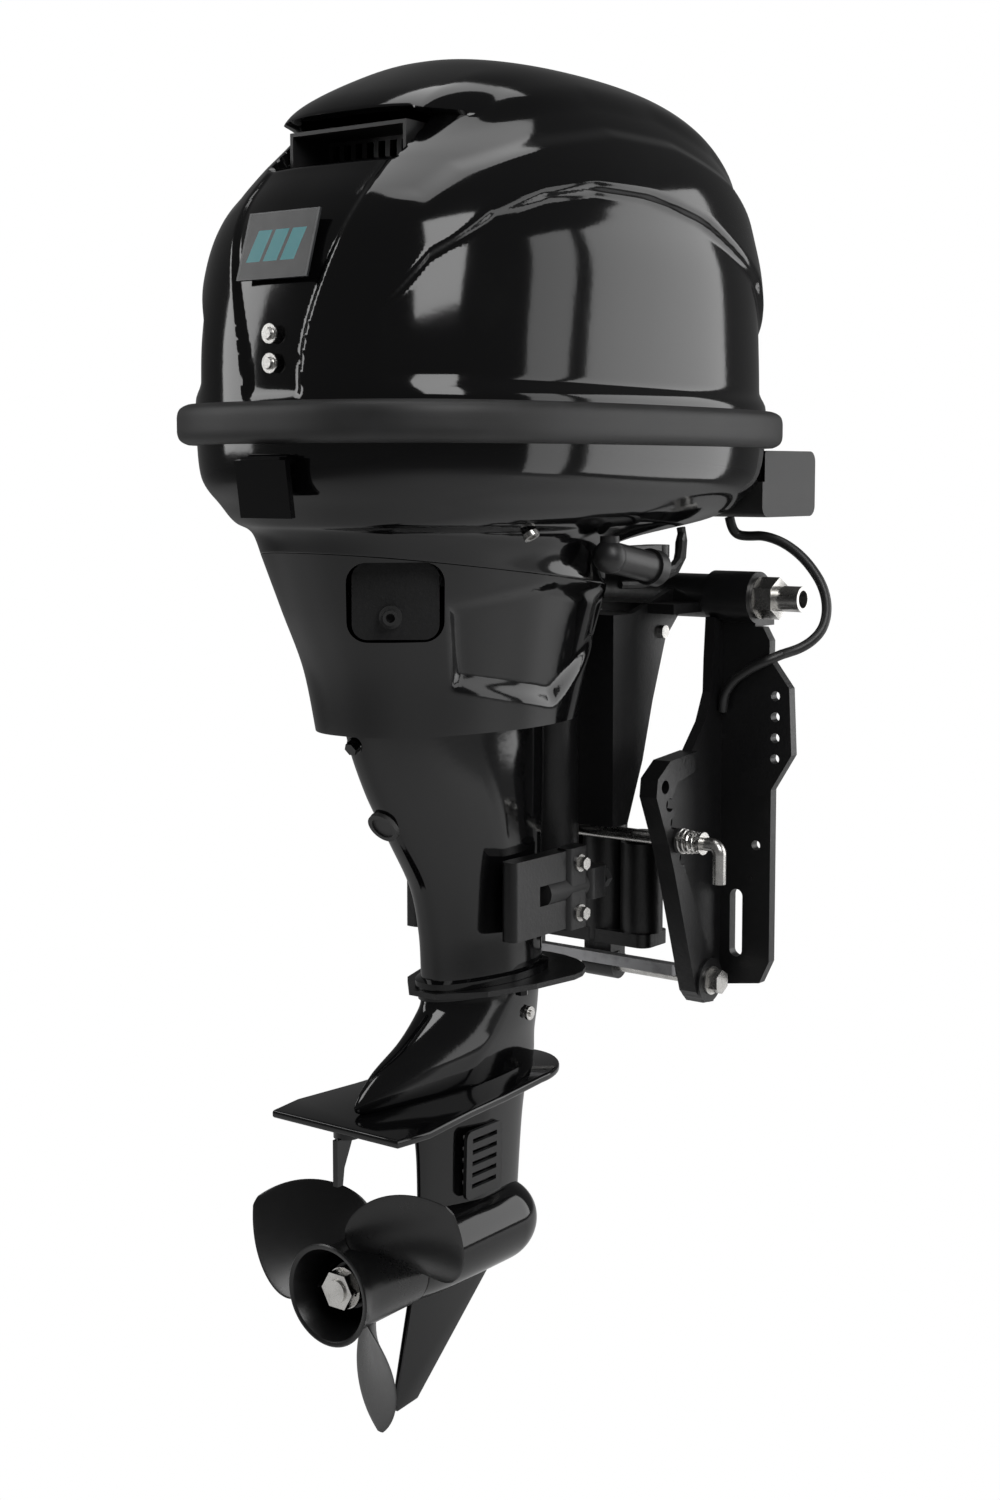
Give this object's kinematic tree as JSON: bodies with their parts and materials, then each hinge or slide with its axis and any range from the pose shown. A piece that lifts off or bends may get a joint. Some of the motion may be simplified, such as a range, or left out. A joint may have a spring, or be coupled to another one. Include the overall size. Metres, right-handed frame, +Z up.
{
  "type": "outboard motor",
  "caption": "Short-shaft outboard motor with power tilt, remote steering arm, domed cowling, through-hub propeller and bolt-on transom brackets.",
  "frame": {"origin": "middle of the upper transom bolt pattern, on the transom face", "axes": "+Y into the boat, +X to starboard, +Z up"},
  "size_m": [0.3823, 0.5985, 1.123],
  "materials": {
    "gloss_cover": "deep gloss black paint with clear coat",
    "gloss_casting": "gloss black paint over cast alloy",
    "bracket_paint": "satin black paint over sand-cast alloy",
    "propeller_paint": "satin black paint",
    "stainless": "bright stainless steel",
    "bare_alloy": "cast",
    "bronze_bush": "machined",
    "rubber": "matte",
    "matte_moulding": "fine grain",
    "badge_film": "clear film with a teal panel"
  },
  "bodies": {
    "transom_bracket": {"clamp_bracket_starboard": "bracket_paint", "clamp_bracket_port": "bracket_paint", "tilt_tube": "stainless", "tilt_tube_nuts": "stainless", "lower_tie_bolt": "stainless", "bracket_anode": "bare_alloy"},
    "swivel": {"swivel_bracket": "bracket_paint", "tilt_bushes": "bronze_bush", "steering_bushes": "bronze_bush", "tilt_rod_pin": "stainless"},
    "motor": {"steering_shaft": "bracket_paint", "upper_mounts": "rubber", "lower_mounts": "rubber", "lower_mount_covers": "gloss_casting", "mount_cover_bolts": "stainless", "midsection": "gloss_casting", "midsection_bolts": "stainless", "access_plug": "rubber", "exhaust_tube": "bare_alloy", "apron": "gloss_cover", "window_plate": "gloss_cover", "flush_nozzle": "rubber", "lower_cowl": "gloss_cover", "lower_cowl_screws": "stainless", "rub_rail": "rubber", "cable_box": "matte_moulding", "cylinder_block": "bare_alloy", "cylinder_head": "bare_alloy", "intake_manifold": "matte_moulding", "starter_motor": "matte_moulding", "oil_filter": "matte_moulding", "spark_plugs": "stainless", "water_pump_housing": "bare_alloy", "gearcase": "gloss_casting", "splash_plate": "gloss_casting", "gearcase_bolts": "stainless", "trim_tab": "bare_alloy", "water_intake_grilles": "matte_moulding", "bearing_carrier": "bare_alloy", "fuel_elbow": "rubber", "engine_hoses": "rubber", "tilt_cable": "rubber"},
    "tilt_ram": {"tilt_cylinder": "bracket_paint", "tilt_pump_motor": "bracket_paint"},
    "tilt_ram_rod": {"tilt_rod": "stainless"},
    "trim_pin": {"tilt_pin": "stainless", "tilt_pin_spring": "stainless"},
    "upper_cowl": {"upper_cowl": "gloss_cover", "intake_duct": "gloss_cover", "badge_plate": "badge_film", "cowl_screws": "stainless"},
    "latch": {"cowl_latch": "gloss_cover"},
    "drive_line": {"drive_shaft": "stainless", "flywheel": "bare_alloy", "water_pump_impeller": "rubber"},
    "forward_gear": {"forward_gear": "stainless"},
    "reverse_gear": {"reverse_gear": "stainless"},
    "propeller": {"propeller": "propeller_paint", "propeller_shaft": "stainless"},
    "clutch": {"clutch_dog": "stainless"}
  },
  "joints": [
    {"name": "tilt", "type": "hinge", "parent": "transom_bracket", "child": "swivel", "pos_m": [0, -0.004, 0.116], "axis": [-1, 0, 0], "range_deg": [0, 65], "deforming": ["tilt_cable"]},
    {"name": "steer", "type": "hinge", "parent": "swivel", "child": "motor", "pos_m": [0, -0.13, 0], "axis": [0, 0, 1], "range_deg": [-35, 35], "deforming": ["tilt_cable"]},
    {"name": "tilt_ram_swing", "type": "hinge", "parent": "transom_bracket", "child": "tilt_ram", "pos_m": [0, -0.04, -0.232], "axis": [1, 0, 0], "range_deg": [0, 1.96]},
    {"name": "tilt_rod_slide", "type": "slide", "parent": "tilt_ram", "child": "tilt_ram_rod", "axis": [0, 0, 1], "range_m": [0, 0.0514]},
    {"name": "trim_pin_slide", "type": "slide", "parent": "transom_bracket", "child": "trim_pin", "axis": [1, 0, 0], "range_m": [-0.012, 0.25], "deforming": ["tilt_pin_spring"]},
    {"name": "cowl_lift", "type": "slide", "parent": "motor", "child": "upper_cowl", "axis": [0, 0, 1], "range_m": [0, 0.25]},
    {"name": "latch_swing", "type": "hinge", "parent": "motor", "child": "latch", "pos_m": [0, -0.4985, 0.238], "axis": [-1, 0, 0], "range_deg": [0, 50]},
    {"name": "drive_spin", "type": "hinge", "parent": "motor", "child": "drive_line", "pos_m": [0, -0.225, 0], "axis": [0, 0, 1], "continuous": true},
    {"name": "forward_gear_spin", "type": "hinge", "parent": "motor", "child": "forward_gear", "pos_m": [0, 0, -0.431], "axis": [0, 1, 0], "continuous": true},
    {"name": "reverse_gear_spin", "type": "hinge", "parent": "motor", "child": "reverse_gear", "pos_m": [0, 0, -0.431], "axis": [0, 1, 0], "continuous": true},
    {"name": "propeller_spin", "type": "hinge", "parent": "motor", "child": "propeller", "pos_m": [0, 0, -0.431], "axis": [0, 1, 0], "continuous": true},
    {"name": "shift_slide", "type": "slide", "parent": "propeller", "child": "clutch", "axis": [0, 1, 0], "range_m": [-0.005, 0.005]}
  ],
  "couplings": [
    {"joint": "tilt_ram_swing", "follows": "tilt", "ratio": 0.03},
    {"joint": "tilt_rod_slide", "follows": "tilt", "m_per_rad": 0.045176},
    {"joint": "forward_gear_spin", "follows": "drive_spin", "ratio": 0.48148},
    {"joint": "reverse_gear_spin", "follows": "drive_spin", "ratio": -0.48148}
  ]
}
